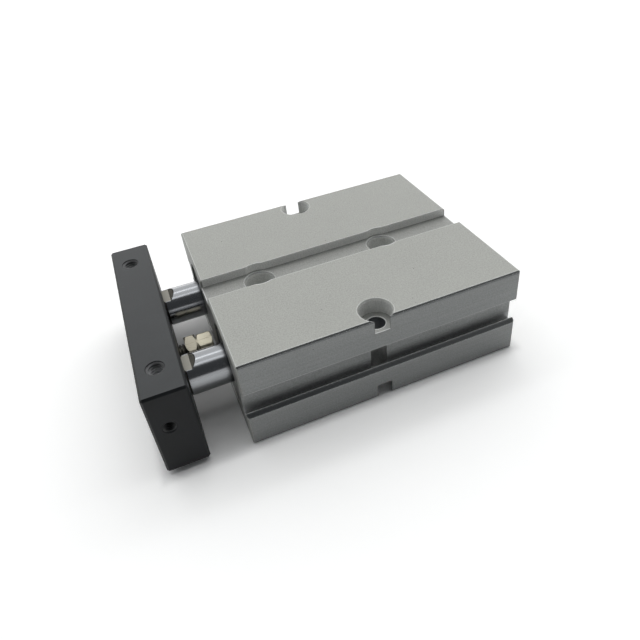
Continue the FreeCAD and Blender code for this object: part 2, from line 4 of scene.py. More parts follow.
import bpy
import numpy as np
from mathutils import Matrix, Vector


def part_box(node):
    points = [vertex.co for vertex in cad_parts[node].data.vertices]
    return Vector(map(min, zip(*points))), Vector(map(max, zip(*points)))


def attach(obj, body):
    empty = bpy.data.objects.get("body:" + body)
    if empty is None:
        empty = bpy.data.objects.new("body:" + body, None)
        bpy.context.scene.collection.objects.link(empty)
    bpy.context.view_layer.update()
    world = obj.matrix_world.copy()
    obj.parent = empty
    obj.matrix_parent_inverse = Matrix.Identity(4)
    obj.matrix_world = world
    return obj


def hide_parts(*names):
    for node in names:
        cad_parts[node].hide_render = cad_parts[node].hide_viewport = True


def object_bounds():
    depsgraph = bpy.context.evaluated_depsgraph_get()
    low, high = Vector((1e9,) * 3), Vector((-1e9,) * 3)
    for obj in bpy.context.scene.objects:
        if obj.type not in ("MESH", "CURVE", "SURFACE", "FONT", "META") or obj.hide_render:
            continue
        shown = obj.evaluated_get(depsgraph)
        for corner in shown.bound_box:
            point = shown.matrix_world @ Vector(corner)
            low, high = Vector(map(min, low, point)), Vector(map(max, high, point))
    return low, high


# Twin rod pneumatic cylinder, in metres. Its front plate is towards -X and its near side towards -Y.
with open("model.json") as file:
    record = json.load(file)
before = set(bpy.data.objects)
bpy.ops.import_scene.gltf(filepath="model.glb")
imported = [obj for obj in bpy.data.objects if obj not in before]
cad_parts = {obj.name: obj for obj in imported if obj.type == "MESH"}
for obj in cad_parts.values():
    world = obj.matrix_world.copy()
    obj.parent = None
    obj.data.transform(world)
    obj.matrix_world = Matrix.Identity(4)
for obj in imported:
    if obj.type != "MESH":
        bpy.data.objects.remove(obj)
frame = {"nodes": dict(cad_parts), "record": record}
cad_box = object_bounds()
MM = 0.001


# Barrel block
# One length of extruded aluminium that holds both bores. It is milled to length, drilled,
# bead blasted and clear anodised; the sides keep faint lines from the extrusion die.
block_low, block_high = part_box("barrel_block")
block_middle = (block_low + block_high) / 2
half_height = block_high.z - block_middle.z
half_length = block_high.x - block_middle.x
mounts = {mount["name"]: mount for mount in frame["record"]["mounts"]}
hole_x, _, _ = mounts["side_fixing_holes"]["pos_m"]
hole_y = mounts["side_fixing_holes"]["dims"]["spacing_y_mm"] / 2 * MM
front_port_x, _, port_z = mounts["front_port"]["pos_m"]
rear_port_x, _, _ = mounts["rear_port"]["pos_m"]
ports_middle = (front_port_x + rear_port_x) / 2
ports_half_apart = (rear_port_x - front_port_x) / 2


def linear(hex_colour):
    """A colour of sRGB hex digits as linear red, green, blue and full alpha."""
    srgb = np.array([int(hex_colour[k:k + 2], 16) for k in (1, 3, 5)]) / 255
    return (*np.where(srgb <= 0.04045, srgb / 12.92, ((srgb + 0.055) / 1.055) ** 2.4), 1.0)


def add(tree, kind, sockets, **settings):
    """Adds a node. Its sockets are given by number, or by name among those in use. Each gets a
    value, an output to link from, or a node, whose first output in use is linked."""
    made = tree.nodes.new("ShaderNode" + kind)
    for name, setting in settings.items():
        setattr(made, name, setting)
    in_use = {socket.name: socket for socket in made.inputs if socket.enabled}
    for key, value in sockets.items():
        socket = in_use[key] if key in in_use else made.inputs[key]
        if isinstance(value, bpy.types.Node):
            value = next(output for output in value.outputs if output.enabled)
        if isinstance(value, bpy.types.NodeSocket):
            tree.links.new(value, socket)
        else:
            socket.default_value = value
    return made


def blank(name):
    """A new material, and its empty tree of nodes."""
    material = bpy.data.materials.new(name)
    material.use_nodes = True
    material.node_tree.nodes.clear()
    return material, material.node_tree


def dress(material, *nodes):
    """Gives CAD nodes their finish."""
    for name in nodes:
        frame["nodes"][name].material_slots[0].material = material


# Blasted and anodised aluminium: an even, silky grey that is half matt, with a fine grain that
# is drawn coarser than real grit so that it shows. The sides have lengthwise die lines and more
# gloss, the sloping edges of the section keep the die's polish, and walls cut after blasting are
# paler, as bare metal and with painted light. Painted light also lifts the groove walls, the seat
# mouths and the skin low in the slots; painted shade darkens a strip below the upper edges and
# the walls deep in the side holes; and edges that face up or line the slots get painted
# highlights.
blasted_aluminium, tree = blank("blasted_anodised_aluminium")
coords = add(tree, "TexCoord", {})
place = coords.outputs["Object"]
at_x, at_y, at_z = add(tree, "SeparateXYZ", {"Vector": place}).outputs
_, facing_y, facing_z = add(tree, "SeparateXYZ", {"Vector": coords.outputs["Normal"]}).outputs
sideways = add(tree, "Math", {0: facing_y}, operation="ABSOLUTE")
upwards = add(tree, "Math", {0: facing_z}, operation="ABSOLUTE")
off_middle = add(tree, "Math", {0: at_y}, operation="ABSOLUTE")
height = add(tree, "Math", {0: at_z, 1: block_middle.z}, operation="SUBTRACT")
off_level = add(tree, "Math", {0: height}, operation="ABSOLUTE")

# Zones: the sides, with a strip of painted shade below their upper edges; the sloping edges that
# the die made; the lands; and the walls that were cut later, the countersunk mouths of the ports
# among them.
SEAT_REACH = 4.2 * MM
SIDE_REACH = 3.1 * MM
SIDE_TILT = 0.75
SIDE_TILT_BY_HOLE = 0.94
SIDE_SQUARE = 0.95
EDGE_STRIP_START = 0.6 * MM
EDGE_STRIP_END = 0.8 * MM
DIE_EDGE_REACH = 1.3 * MM
DIE_SLOPE = 0.68
DIE_SLOPE_SPREAD = 0.08
WALL_TILT = 0.3
PORT_REACH = 2.75 * MM
LAND_REACH = 0.6 * MM
END_REACH = 0.45 * MM
by_hole_x = add(tree, "Math", {0: at_x, 1: hole_x, 2: SEAT_REACH}, operation="COMPARE")
by_hole_y = add(tree, "Math", {0: off_middle, 1: hole_y, 2: SEAT_REACH}, operation="COMPARE")
by_hole = add(tree, "Math", {0: by_hole_x, 1: by_hole_y}, operation="MULTIPLY")
side_tilt = add(tree, "MapRange", {
    "Value": by_hole, "To Min": SIDE_TILT, "To Max": SIDE_TILT_BY_HOLE})
upright = add(tree, "MapRange", {
    "Value": sideways, "From Min": side_tilt, "From Max": SIDE_SQUARE})
on_side = add(tree, "Math", {0: off_middle, 1: block_high.y - SIDE_REACH}, operation="GREATER_THAN")
side = add(tree, "Math", {0: on_side, 1: upright}, operation="MULTIPLY")
below_edge = add(tree, "MapRange", {
    "Value": at_z,
    "From Min": block_high.z - EDGE_STRIP_END, "From Max": block_high.z - EDGE_STRIP_START})
shade_strip = add(tree, "Math", {0: side, 1: below_edge}, operation="MULTIPLY")
sloping = add(tree, "Math", {0: sideways, 1: DIE_SLOPE, 2: DIE_SLOPE_SPREAD}, operation="COMPARE")
steep = add(tree, "Math", {0: upwards, 1: WALL_TILT}, operation="LESS_THAN")
from_ports = add(tree, "Math", {0: at_x, 1: ports_middle}, operation="SUBTRACT")
off_ports = add(tree, "Math", {0: from_ports}, operation="ABSOLUTE")
by_port_x = add(tree, "Math", {0: off_ports, 1: ports_half_apart, 2: PORT_REACH}, operation="COMPARE")
by_port_z = add(tree, "Math", {0: at_z, 1: port_z, 2: PORT_REACH}, operation="COMPARE")
by_port = add(tree, "Math", {0: by_port_x, 1: by_port_z}, operation="MULTIPLY")
port_rim = add(tree, "Math", {0: by_port, 1: sloping}, operation="MULTIPLY")
cut_later = add(tree, "Math", {0: steep, 1: port_rim}, operation="MAXIMUM")
leaning = add(tree, "Math", {0: sloping, 1: cut_later}, operation="SUBTRACT", use_clamp=True)
outermost = add(tree, "Math", {
    0: off_middle, 1: block_high.y - DIE_EDGE_REACH}, operation="GREATER_THAN")
die_edge = add(tree, "Math", {0: outermost, 1: leaning}, operation="MULTIPLY")
on_land = add(tree, "Math", {0: off_level, 1: half_height - LAND_REACH}, operation="GREATER_THAN")
not_end = add(tree, "Math", {
    0: at_x, 1: block_middle.x, 2: half_length - END_REACH}, operation="COMPARE")
wall = add(tree, "Math", {0: cut_later, 1: not_end}, operation="MULTIPLY")
cut_wall = add(tree, "Math", {0: wall, 1: side}, operation="SUBTRACT", use_clamp=True)

# Painted shade in the side holes below their upper seats, most of it above the slots and in the lower
# seats.
SLOT_REACH = 4.0 * MM
SLOT_SHADE_SHARE = 0.45
SHADE_EDGE = 0.12 * MM
below_seat = add(tree, "Math", {0: at_z, 1: block_high.z - SEAT_REACH}, operation="LESS_THAN")
in_hole = add(tree, "Math", {0: by_hole, 1: below_seat}, operation="MULTIPLY")
above_slot = add(tree, "MapRange", {
    "Value": height, "From Min": SLOT_REACH, "From Max": SLOT_REACH + SHADE_EDGE, "To Min": SLOT_SHADE_SHARE})
low_seat = add(tree, "Math", {0: at_z, 1: block_low.z + SEAT_REACH}, operation="LESS_THAN")
shade_share = add(tree, "Math", {0: above_slot, 1: low_seat}, operation="MAXIMUM")
hole_shade = add(tree, "Math", {0: in_hole, 1: shade_share}, operation="MULTIPLY")

# Painted highlights: hairlines on the inner ends of the slopes that lead into the slots, and
# fainter ones over the slots' mouths. Low inside the slots, painted light makes the skin paler.
SLOT_LIP = 1.1 * MM
SLOT_DIP = 1.9 * MM
HIGHLIGHT_LINE = 0.12 * MM
BROW_HIGHLIGHT = 0.3
in_mouth = add(tree, "Math", {0: off_level, 1: SLOT_REACH}, operation="LESS_THAN")
slope = add(tree, "Math", {0: die_edge, 1: in_mouth}, operation="MULTIPLY")
inner_end = add(tree, "Math", {
    0: off_middle, 1: block_high.y - SLOT_LIP + HIGHLIGHT_LINE}, operation="LESS_THAN")
lip_highlight = add(tree, "Math", {0: slope, 1: inner_end}, operation="MULTIPLY")
brow = add(tree, "Math", {
    0: height, 1: SLOT_REACH - HIGHLIGHT_LINE / 2, 2: HIGHLIGHT_LINE / 2}, operation="COMPARE")
brow_line = add(tree, "Math", {0: brow, 1: side}, operation="MULTIPLY")
faint_line = add(tree, "Math", {0: brow_line, 1: BROW_HIGHLIGHT}, operation="MULTIPLY")
hairline_highlight = add(tree, "Math", {0: lip_highlight, 1: faint_line}, operation="MAXIMUM")
# Painted light: the skin low inside the slots is drawn paler.
inside = add(tree, "Math", {0: off_middle, 1: block_high.y - SLOT_LIP}, operation="LESS_THAN")
side_inside = add(tree, "Math", {0: side, 1: inside}, operation="MULTIPLY")
dip = add(tree, "MapRange", {"Value": height, "From Min": -SLOT_DIP, "From Max": -SLOT_REACH})
slot_painted_light = add(tree, "Math", {0: side_inside, 1: dip}, operation="MULTIPLY")

# The palest walls, drawn with painted light: those of the grooves, and the outermost part of the
# screw seats' walls, where the mouths are chamfered, in the lands and in the grooves.
GROOVE_DEPTH = 2.2 * MM
GROOVE_REACH = 6 * MM
MOUTH_ROUNDING = 0.55 * MM
groove_floor = half_height - GROOVE_DEPTH
seat_rim = add(tree, "Math", {0: by_hole, 1: on_land}, operation="MULTIPLY")
in_groove = add(tree, "Math", {0: off_middle, 1: GROOVE_REACH}, operation="LESS_THAN")
below_floor = add(tree, "Math", {
    0: off_level, 1: groove_floor - MOUTH_ROUNDING / 2, 2: MOUTH_ROUNDING / 2}, operation="COMPARE")
groove_rim = add(tree, "Math", {0: in_groove, 1: below_floor}, operation="MULTIPLY")
either_rim = add(tree, "Math", {0: seat_rim, 1: groove_rim}, operation="MAXIMUM")
mouth = add(tree, "Math", {0: either_rim, 1: cut_wall}, operation="MULTIPLY")
above_floor = add(tree, "Math", {0: off_level, 1: groove_floor}, operation="GREATER_THAN")
groove_wall = add(tree, "Math", {0: in_groove, 1: above_floor}, operation="MULTIPLY")
painted_light_wall = add(tree, "Math", {0: groove_wall, 1: mouth}, operation="MAXIMUM")

# Colours: clouds on the lands and die lines on the rest of the section, the painted light and shade
# of the zones above, then the grit, a few dark specks, and painted highlights on the edges.
LAND_GREY = "#989994"
LAND_PALE = "#a3a49f"
GROOVE_GREY = "#8e8f8c"
GROOVE_PALE = "#989995"
SIDE_DARK = "#797b7b"
SIDE_PALE = "#8a8c8b"
EDGE_STRIP_PAINTED_SHADE = "#606263"
SLOT_PAINTED_LIGHT = "#c6c8c9"
CUT_GREY = "#d8d9d6"
CUT_PAINTED_LIGHT = "#e2e3e0"
CUT_PAINTED_SHADE = "#565a5d"
SPECK_GREY = "#4c4d4c"
EDGE_PAINTED_HIGHLIGHT = "#cfd0ce"
BLAST_GRIT = 0.32 * MM
CLOUD_WIDTH = 11 * MM
DIE_LINE_WIDTH = 0.4 * MM
DIE_LINE_LENGTH = 50 * MM
GRIT_LOW = 0.3
GRIT_HIGH = 0.7
GRIT_DARKEST = 0.85
GRIT_PALEST = 1.14
SPECK_SPACING = 4.2 * MM
SPECK_RADIUS = 0.12 * MM
HIGHLIGHT_WIDTH = 0.28 * MM
HIGHLIGHT_START = 0.99
HIGHLIGHT_FULL = 0.87
HIGHLIGHT_TILT = 0.5
HIGHLIGHT_LEVEL = 0.9
grain = add(tree, "TexNoise", {"Vector": place, "Scale": 1 / BLAST_GRIT, "Detail": 2.0})
cloud = add(tree, "TexNoise", {"Vector": place, "Scale": 1 / CLOUD_WIDTH, "Detail": 3.0})
stretch = add(tree, "Mapping", {
    "Vector": place, "Scale": (1 / DIE_LINE_LENGTH, 1 / DIE_LINE_WIDTH, 1 / DIE_LINE_WIDTH)})
die_lines = add(tree, "TexNoise", {"Vector": stretch, "Scale": 1.0, "Detail": 3.0})
land = add(tree, "Mix", {
    "Factor": cloud, "A": linear(LAND_GREY), "B": linear(LAND_PALE)}, data_type="RGBA")
groove = add(tree, "Mix", {
    "Factor": die_lines, "A": linear(GROOVE_GREY), "B": linear(GROOVE_PALE)}, data_type="RGBA")
level = add(tree, "Mix", {"Factor": on_land, "A": groove, "B": land}, data_type="RGBA")
# Painted light: groove walls and chamfered seat mouths are drawn paler than other cut walls.
cut_with_painted_light = add(tree, "Mix", {
    "Factor": painted_light_wall, "A": linear(CUT_GREY), "B": linear(CUT_PAINTED_LIGHT)}, data_type="RGBA")
# Painted shade: walls deep in the side holes are drawn dark.
cut = add(tree, "Mix", {"Factor": hole_shade, "A": cut_with_painted_light, "B": linear(CUT_PAINTED_SHADE)}, data_type="RGBA")
walled = add(tree, "Mix", {"Factor": cut_wall, "A": level, "B": cut}, data_type="RGBA")
flank = add(tree, "Mix", {
    "Factor": die_lines, "A": linear(SIDE_DARK), "B": linear(SIDE_PALE)}, data_type="RGBA")
# Painted shade: the strip below the upper long edges is drawn darker.
strip_shaded = add(tree, "Mix", {
    "Factor": shade_strip, "A": flank, "B": linear(EDGE_STRIP_PAINTED_SHADE)}, data_type="RGBA")
slotted = add(tree, "Mix", {
    "Factor": slot_painted_light, "A": strip_shaded, "B": linear(SLOT_PAINTED_LIGHT)}, data_type="RGBA")
die_made = add(tree, "Math", {0: side, 1: die_edge}, operation="MAXIMUM")
skin = add(tree, "Mix", {"Factor": die_made, "A": walled, "B": slotted}, data_type="RGBA")
grit_tone = add(tree, "MapRange", {
    "Value": grain, "From Min": GRIT_LOW, "From Max": GRIT_HIGH,
    "To Min": GRIT_DARKEST, "To Max": GRIT_PALEST})
gritty = add(tree, "Mix", {
    "Factor": 1.0, "A": skin, "B": grit_tone}, data_type="RGBA", blend_type="MULTIPLY")
speck_field = add(tree, "TexVoronoi", {"Vector": place, "Scale": 1 / SPECK_SPACING})
speck = add(tree, "Math", {0: speck_field, 1: SPECK_RADIUS / SPECK_SPACING}, operation="LESS_THAN")
specked = add(tree, "Mix", {
    "Factor": speck, "A": gritty, "B": linear(SPECK_GREY)}, data_type="RGBA")
# Painted highlights on convex edges that face up, and on the hairlines.
thin = add(tree, "AmbientOcclusion", {
    "Distance": HIGHLIGHT_WIDTH}, inside=True, only_local=True, samples=8)
sharp = add(tree, "MapRange", {
    "Value": thin.outputs["AO"], "From Min": HIGHLIGHT_START, "From Max": HIGHLIGHT_FULL})
facing_up = add(tree, "MapRange", {"Value": upwards, "From Min": HIGHLIGHT_TILT, "From Max": HIGHLIGHT_LEVEL})
edge_highlight = add(tree, "Math", {0: sharp, 1: facing_up}, operation="MULTIPLY")
bright = add(tree, "Math", {0: edge_highlight, 1: hairline_highlight}, operation="MAXIMUM")
highlighted = add(tree, "Mix", {
    "Factor": bright, "A": specked, "B": linear(EDGE_PAINTED_HIGHLIGHT)}, data_type="RGBA")

# Gloss: the sides shine more than the lands, cut walls and low slots less, and the die's edges
# most. Relief: edges look rounded, most of all the mouths of the screw seats, with grit all over
# and die lines on the sides.
LAND_LUSTRE = 0.5
SIDE_LUSTRE = 0.8
DULL_SHARE = 0.4
DIE_LUSTRE = 0.8
SLOPE_LUSTRE = 1.0
BLOCK_SMOOTHEST = 0.42
BLOCK_ROUGHEST = 0.56
DIE_SMOOTHING = 0.4
BLOCK_EDGE_RADIUS = 0.2 * MM
BLOCK_RELIEF = 0.15
BLOCK_RELIEF_DEPTH = 0.04 * MM
lustre = add(tree, "MapRange", {"Value": side, "To Min": LAND_LUSTRE, "To Max": SIDE_LUSTRE})
cut_dull = add(tree, "MapRange", {"Value": cut_wall, "To Min": 1.0, "To Max": DULL_SHARE})
slot_dull = add(tree, "MapRange", {"Value": slot_painted_light, "To Min": 1.0, "To Max": DULL_SHARE})
dull = add(tree, "Math", {0: cut_dull, 1: slot_dull}, operation="MULTIPLY")
base_lustre = add(tree, "Math", {0: lustre, 1: dull}, operation="MULTIPLY")
die_lustre = add(tree, "MapRange", {"Value": in_mouth, "To Min": DIE_LUSTRE, "To Max": SLOPE_LUSTRE})
die_polish = add(tree, "Math", {0: die_edge, 1: die_lustre}, operation="MULTIPLY")
polish = add(tree, "Math", {0: base_lustre, 1: die_polish}, operation="MAXIMUM")
# The metallic share drops on the painted highlight lines.
scratched_and_highlit = add(tree, "Math", {0: polish, 1: lip_highlight}, operation="SUBTRACT", use_clamp=True)
matt = add(tree, "MapRange", {"Value": cloud, "To Min": BLOCK_SMOOTHEST, "To Max": BLOCK_ROUGHEST})
smooth = add(tree, "MapRange", {"Value": die_edge, "To Min": 1.0, "To Max": DIE_SMOOTHING})
sheen = add(tree, "Math", {0: matt, 1: smooth}, operation="MULTIPLY")
edge_radius = add(tree, "MapRange", {
    "Value": mouth, "To Min": BLOCK_EDGE_RADIUS, "To Max": MOUTH_ROUNDING})
rounded = add(tree, "Bevel", {"Radius": edge_radius}, samples=6)
grain_bump = add(tree, "Bump", {
    "Height": grain, "Strength": BLOCK_RELIEF, "Distance": BLOCK_RELIEF_DEPTH, "Normal": rounded})
line_height = add(tree, "Math", {0: die_lines, 1: side}, operation="MULTIPLY")
line_bump = add(tree, "Bump", {
    "Height": line_height, "Strength": BLOCK_RELIEF, "Distance": BLOCK_RELIEF_DEPTH,
    "Normal": grain_bump})
shader = add(tree, "BsdfPrincipled", {
    "Base Color": highlighted, "Metallic": scratched_and_highlit, "Roughness": sheen, "Normal": line_bump})
add(tree, "OutputMaterial", {"Surface": shader})
dress(blasted_aluminium, "barrel_block")


# Air ports
# Two M5 threads cut into the block's left side, where the air fittings screw in. The cut thread
# has no anodised skin, so it is brighter than the block.
PORT_THREAD = 5.0 * MM
PORT_PITCH = 0.8 * MM
PORT_DEPTH = 6.0 * MM
COUNTERSINK = 0.15 * MM
THREAD_GAP = 0.004 * MM
INNER_THREAD_HEIGHT = 0.54
NARROW_FLAT = 0.125
WIDE_FLAT = 0.25
TURN_STEPS = 72
STEPS_PER_PITCH = 12
SHARP_ANGLE = radians(28)
TOOL_MARK = 0.08 * MM
CUT_ALUMINIUM_DARK = "#8d8e8c"
CUT_ALUMINIUM_PALE = "#c3c4c2"


def solid(name, rows, ring, material, body):
    """A closed piece from rows of points round an axis, joined row to row and right round.
    The last row joins the first one where ring is true, and otherwise each end is one flat face.
    Faces are turned outwards where the volume under them comes out negative."""
    count, steps = rows.shape[:2]
    index = np.arange(count * steps).reshape(count, steps)
    lower = index if ring else index[:-1]
    upper = np.roll(index, -1, axis=0) if ring else index[1:]
    corners = (lower, np.roll(lower, -1, axis=1), np.roll(upper, -1, axis=1), upper)
    points = rows.reshape(-1, 3)
    a, b, c, d = (points[corner.ravel()] for corner in corners)
    volume = np.einsum("ij,ij->", a, np.cross(b, c)) + np.einsum("ij,ij->", a, np.cross(c, d))
    faces = np.stack(corners, axis=-1).reshape(-1, 4).tolist()
    if not ring:
        faces += [index[0, ::-1].tolist(), index[-1].tolist()]
    if volume < 0:
        faces = [face[::-1] for face in faces]
    mesh = bpy.data.meshes.new(name)
    mesh.from_pydata(points, [], faces)
    mesh.shade_smooth()
    mesh.set_sharp_from_angle(angle=SHARP_ANGLE)
    mesh.materials.append(material)
    piece = bpy.data.objects.new(name, mesh)
    bpy.context.scene.collection.objects.link(piece)
    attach(piece, body)
    return piece


def thread_form(phase, flat_top, flat_root):
    """Height of a thread from 0 in its root to 1 on its top, over one pitch of phase: straight
    flanks between a flat top and a flat root, whose widths are shares of the pitch."""
    from_top = np.abs(phase % 1 - 0.5)
    return np.clip((0.5 - flat_root / 2 - from_top) / (0.5 - flat_root / 2 - flat_top / 2), 0, 1)


def around(axis, centre, along, across, turn):
    """Points at distances along an axis (0, 1 or 2) and across it, at angles of turn about it."""
    points = np.zeros((*np.broadcast_shapes(along.shape, across.shape, turn.shape), 3))
    points[..., axis] = along
    points[..., (axis + 1) % 3] = centre[(axis + 1) % 3] + across * np.cos(turn)
    points[..., (axis + 2) % 3] = centre[(axis + 2) % 3] + across * np.sin(turn)
    return points


def cut_thread(name, axis, mouth, inwards, thread, pitch, depth, material, body):
    """The thread inside a hole: a sleeve whose inner wall stands in from the hole's wall by the
    thread's height, which follows depth / pitch - turn, under the cone of the countersunk mouth."""
    turn = np.linspace(0, 2 * pi, TURN_STEPS, endpoint=False)[None, :]
    deep = np.linspace(COUNTERSINK, depth, int(depth / pitch * STEPS_PER_PITCH))[:, None]
    wall = thread / 2 - THREAD_GAP
    root = wall - 2 * THREAD_GAP
    ridge = thread_form(deep / pitch - turn / (2 * pi), WIDE_FLAT, NARROW_FLAT)
    inner = root - INNER_THREAD_HEIGHT * pitch * ridge
    inner = np.minimum(np.maximum(inner, root + COUNTERSINK - deep), root)
    along = mouth[axis] + inwards * deep
    sleeve = around(axis, mouth, along, inner, turn)
    outer = around(axis, mouth, along[[-1, 0]], np.full((2, 1), wall), turn)
    return solid(name, np.concatenate([sleeve, outer]), True, material, body)


def grained(name, dark, pale, grain, detail, relief, depth, metallic, roughness):
    """A grained finish: two tones mottled in spots as wide as the grain, with a low relief."""
    material, tree = blank(name)
    coords = add(tree, "TexCoord", {})
    spots = add(tree, "TexNoise", {
        "Vector": coords.outputs["Object"], "Scale": 1 / grain, "Detail": detail})
    tone = add(tree, "Mix", {"Factor": spots, "A": linear(dark), "B": linear(pale)}, data_type="RGBA")
    bumps = add(tree, "Bump", {"Height": spots, "Strength": relief, "Distance": depth})
    shader = add(tree, "BsdfPrincipled", {
        "Base Color": tone, "Metallic": metallic, "Roughness": roughness, "Normal": bumps})
    add(tree, "OutputMaterial", {"Surface": shader})
    return material


# Freshly cut aluminium: bright, with a fine grain of tool marks.
cut_aluminium = grained(
    "cut_aluminium_thread", CUT_ALUMINIUM_DARK, CUT_ALUMINIUM_PALE, grain=TOOL_MARK, detail=3.0,
    relief=0.2, depth=0.02 * MM, metallic=1.0, roughness=0.32)
for port in ("front_port", "rear_port"):
    x, _, z = mounts[port]["pos_m"]
    cut_thread(f"{port}_thread", 1, (x, block_high.y, z), -1, PORT_THREAD, PORT_PITCH, PORT_DEPTH,
               cut_aluminium, "cylinder")


# Front and rear covers, and the pistons
# Turned from aluminium bar to close the bores, and to slide in them. The lathe leaves fine
# rings round each bore's axis on every face.
COVER_DARK = "#8e8f8d"
COVER_PALE = "#bfc0bd"
LATHE_FEED = 0.12 * MM
RIDGE_RELIEF = 0.3
RIDGE_DEPTH = 0.02 * MM
rod_low, rod_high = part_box("piston_rod_left")
bore_y = (rod_low.y + rod_high.y) / 2
bore_z = (rod_low.z + rod_high.z) / 2


def pair(*names):
    """The left and right nodes of pieces that each bore has one of."""
    return [f"{name}_{side}" for name in names for side in ("left", "right")]


def bore_radius(tree, y, z):
    """The distance from the axis of the nearer bore, at a place's y and z."""
    off_middle = add(tree, "Math", {0: y}, operation="ABSOLUTE")
    off_y = add(tree, "Math", {0: off_middle, 1: bore_y}, operation="SUBTRACT")
    off_z = add(tree, "Math", {0: z, 1: bore_z}, operation="SUBTRACT")
    off_axis = add(tree, "CombineXYZ", {"X": off_y, "Y": off_z})
    return add(tree, "VectorMath", {0: off_axis}, operation="LENGTH")


def turned(name, dark, pale, metallic, roughness, feed):
    """A lathe-turned finish: two tones and shallow ridges, from noise over the distance from the
    nearer bore's axis and along it, so in rings on the ends and round the outside."""
    material, tree = blank(name)
    coords = add(tree, "TexCoord", {})
    x, y, z = add(tree, "SeparateXYZ", {"Vector": coords.outputs["Object"]}).outputs
    path = add(tree, "Math", {0: bore_radius(tree, y, z), 1: x}, operation="ADD")
    rings = add(tree, "TexNoise", {"W": path, "Scale": 1 / feed, "Detail": 2.0}, noise_dimensions="1D")
    tone = add(tree, "Mix", {"Factor": rings, "A": linear(dark), "B": linear(pale)}, data_type="RGBA")
    ridges = add(tree, "Bump", {"Height": rings, "Strength": RIDGE_RELIEF, "Distance": RIDGE_DEPTH})
    shader = add(tree, "BsdfPrincipled", {
        "Base Color": tone, "Metallic": metallic, "Roughness": roughness, "Normal": ridges})
    add(tree, "OutputMaterial", {"Surface": shader})
    return material


# Turned aluminium: bright rings with a soft highlight that fans out from the axis.
turned_aluminium = turned(
    "turned_aluminium", COVER_DARK, COVER_PALE, metallic=0.75, roughness=0.36, feed=LATHE_FEED)
dress(turned_aluminium, *pair("front_cover", "rear_cover", "piston"))


# Rod bushes and wear rings
# The bushes are pressed from bronze powder, turned to size and oiled, the wear rings turned from
# acetal bar. They carry the rods and the pistons sideways.
BRONZE_DARK = "#7b5a36"
BRONZE_PALE = "#a98250"
BRONZE_FEED = 0.3 * MM
ACETAL_DARK = "#d9d5c6"
ACETAL_PALE = "#e8e5da"
# Sintered bronze is a dull brown with broad turning marks; acetal is a smooth, warm white.
sintered_bronze = turned(
    "sintered_bronze", BRONZE_DARK, BRONZE_PALE, metallic=1.0, roughness=0.45, feed=BRONZE_FEED)
dress(sintered_bronze, *pair("rod_bush"))
machined_acetal = turned(
    "machined_acetal", ACETAL_DARK, ACETAL_PALE, metallic=0.0, roughness=0.4, feed=LATHE_FEED)
dress(machined_acetal, *pair("wear_ring"))


# Seals, bumpers and magnets
# Moulded rings: nitrile rubber lips and O-rings, soft polyurethane bumpers that end the
# stroke, and the plastic bonded ferrite rings that the sensors in the slots feel.
NITRILE_DARK = "#1d1e1f"
NITRILE_PALE = "#2b2c2d"
URETHANE_DARK = "#3d5573"
URETHANE_PALE = "#4a6484"
FERRITE_DARK = "#38393c"
FERRITE_PALE = "#4a4b4e"
MOULDED_SKIN = {"grain": 0.3 * MM, "detail": 4.0, "relief": 0.25, "depth": 0.03 * MM, "metallic": 0.0}
# Nitrile is black with a dull bloom, polyurethane a dull blue, bonded ferrite dark grey. All are
# finely pebbled by their moulds.
nitrile_rubber = grained("nitrile_rubber", NITRILE_DARK, NITRILE_PALE, roughness=0.6, **MOULDED_SKIN)
dress(nitrile_rubber, *pair("rod_seal", "piston_seal", "front_cover_o_ring", "rear_cover_o_ring"))
polyurethane = grained("polyurethane", URETHANE_DARK, URETHANE_PALE, roughness=0.45, **MOULDED_SKIN)
dress(polyurethane, *pair("front_bumper", "rear_bumper"))
bonded_ferrite = grained("bonded_ferrite", FERRITE_DARK, FERRITE_PALE, roughness=0.55, **MOULDED_SKIN)
dress(bonded_ferrite, *pair("piston_magnet"))


# Snap rings
# Stamped from spring steel and phosphated. They spring into grooves at the mouths of the bores
# and hold the covers in.
PHOSPHATE_DARK = "#2c2c2d"
PHOSPHATE_PALE = "#4b4a49"
PHOSPHATE_GRAIN = 0.15 * MM
# Phosphated steel: a dull, almost black grey with a fine crystal grain.
phosphated_steel = grained(
    "phosphated_spring_steel", PHOSPHATE_DARK, PHOSPHATE_PALE, grain=PHOSPHATE_GRAIN, detail=4.0,
    relief=0.2, depth=0.03 * MM, metallic=1.0, roughness=0.5)
dress(phosphated_steel, *pair("front_snap_ring", "rear_snap_ring"))


# Piston rods
# Ground steel bar, hard chromed and polished. Two flats beside the front plate are milled
# after the chrome, for the spanner that holds the rod while its screw is tightened.
CHROME_DARK = "#8a8c8f"
CHROME_PALE = "#97999b"
CHROME_ROUGHNESS = 0.17
GRINDING_LINE = 0.06 * MM
GRINDING_RELIEF = 0.04
GRINDING_DEPTH = 0.01 * MM
FLAT_DARK = "#8f8d84"
FLAT_PALE = "#a3a097"
FLAT_ROUGHNESS = 0.45
FLAT_LUSTRE = 0.6
FLAT_END = 3.3 * MM
FLAT_SINK = 0.12 * MM
CUTTER_MARK = 0.25 * MM
rod_radius = (rod_high.z - rod_low.z) / 2
